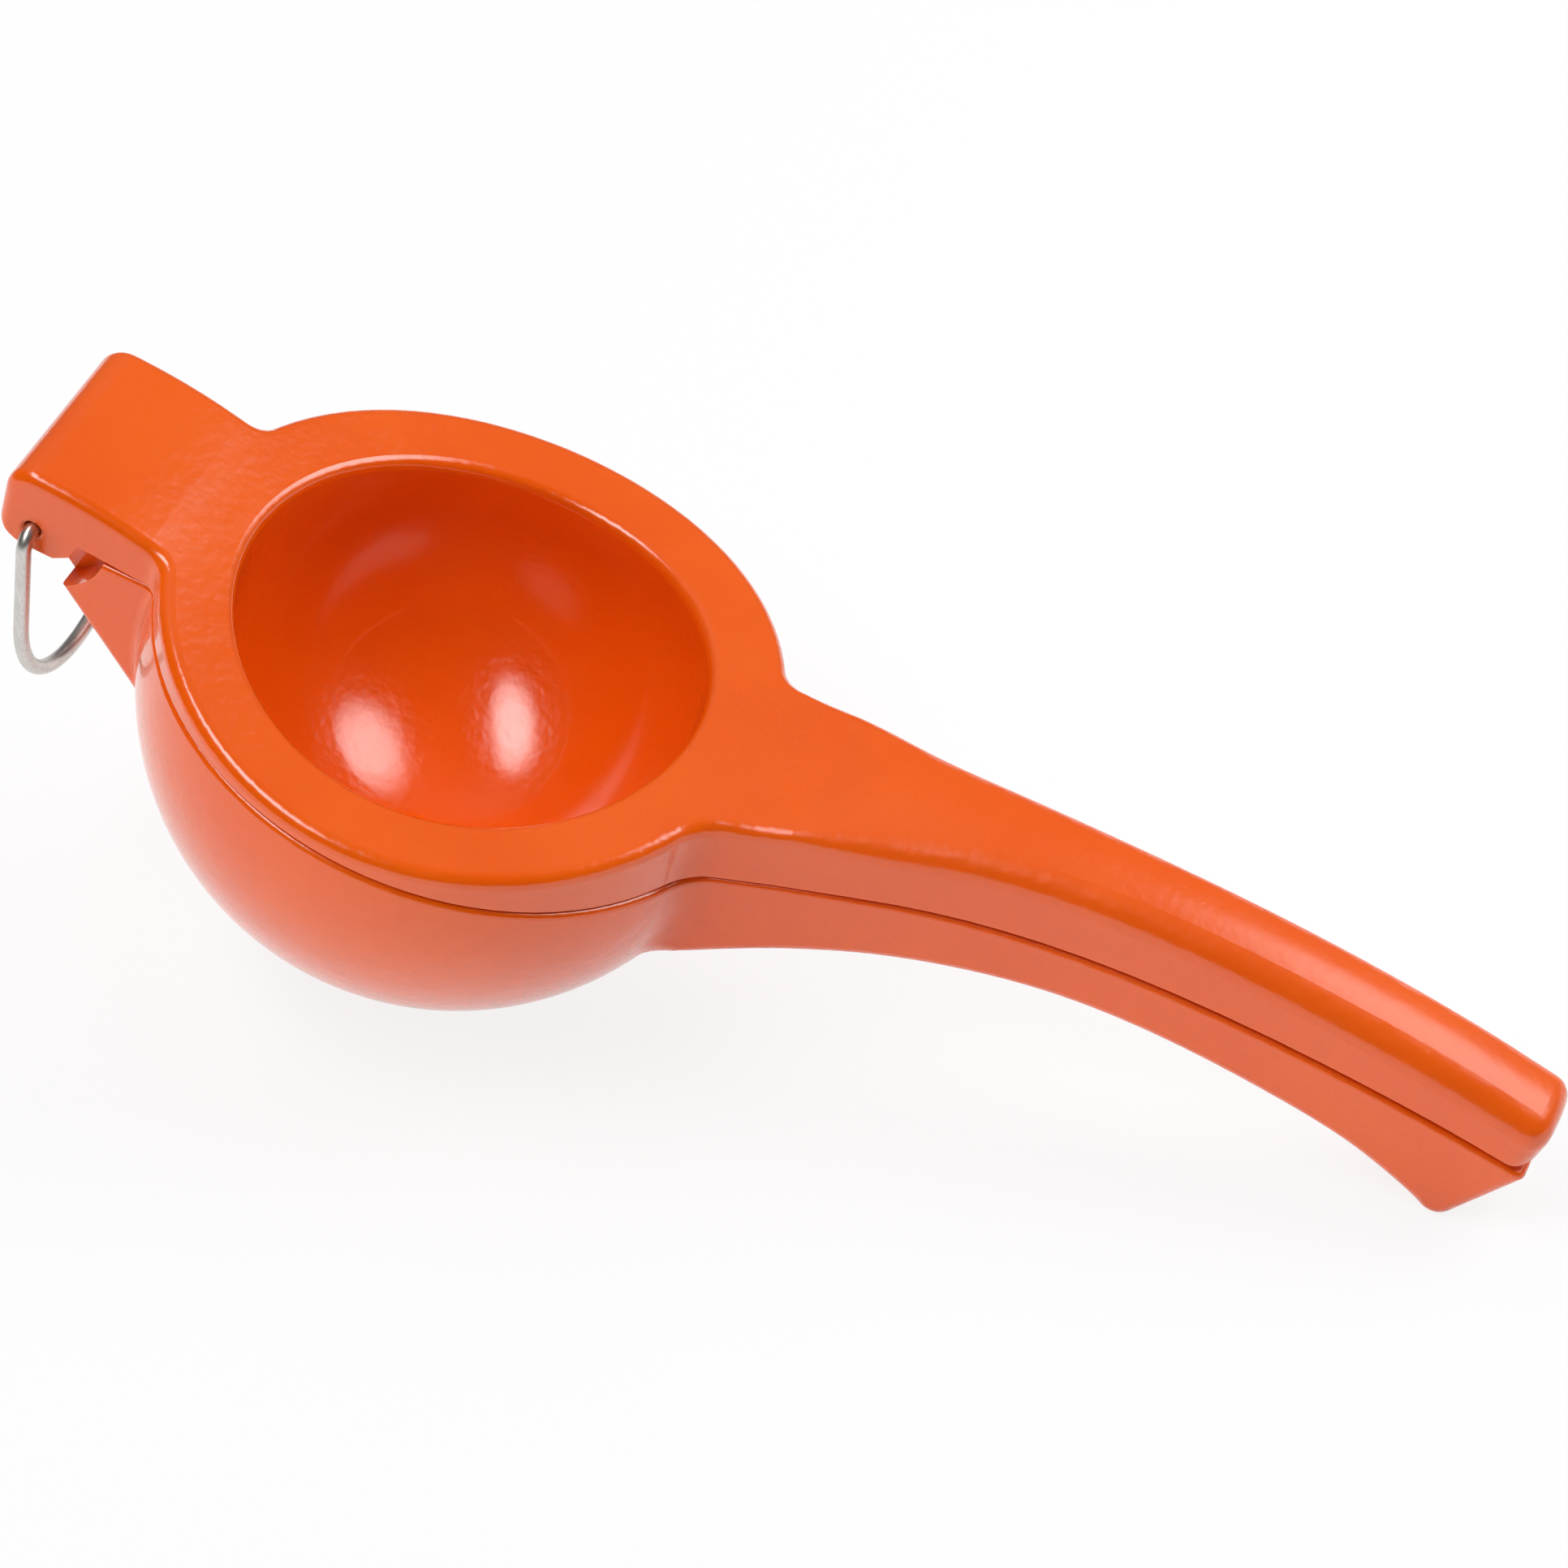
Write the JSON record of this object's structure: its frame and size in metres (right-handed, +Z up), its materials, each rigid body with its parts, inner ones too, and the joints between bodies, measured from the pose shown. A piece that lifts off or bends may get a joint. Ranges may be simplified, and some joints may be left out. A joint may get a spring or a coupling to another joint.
{
  "type": "manual citrus juicer",
  "caption": "Hand citrus press: a dished press cup hinged over a round drain bowl, with two arched grips, in orange enamel, and a steel wire hanging ring.",
  "frame": {"origin": "centre of the bounding box on the surface that the press rests on, under the bowl and the heel of the lower grip", "axes": "+X along the press from the hinge to the end of the grips, +Y across it, +Z up from the surface"},
  "size_m": [0.2534, 0.1016, 0.0894],
  "materials": {
    "enamel": "glossy orange enamel with a faint orange-peel texture on cast aluminium",
    "wire": "satin drawn steel wire"
  },
  "bodies": {
    "lower_arm": {"lower_bowl_arm": "enamel"},
    "upper_arm": {"upper_press_arm": "enamel"},
    "ring": {"hanging_ring": "wire"}
  },
  "joints": [
    {"name": "press_hinge", "type": "hinge", "parent": "lower_arm", "child": "upper_arm", "pos_m": [-0.11961, 0, 0.07836], "axis": [0, -1, 0], "range_deg": [0, 120]},
    {"name": "ring_swing", "type": "hinge", "parent": "lower_arm", "child": "ring", "pos_m": [-0.11961, 0, 0.07836], "axis": [0, 1, 0], "range_deg": [-24, 115]}
  ]
}
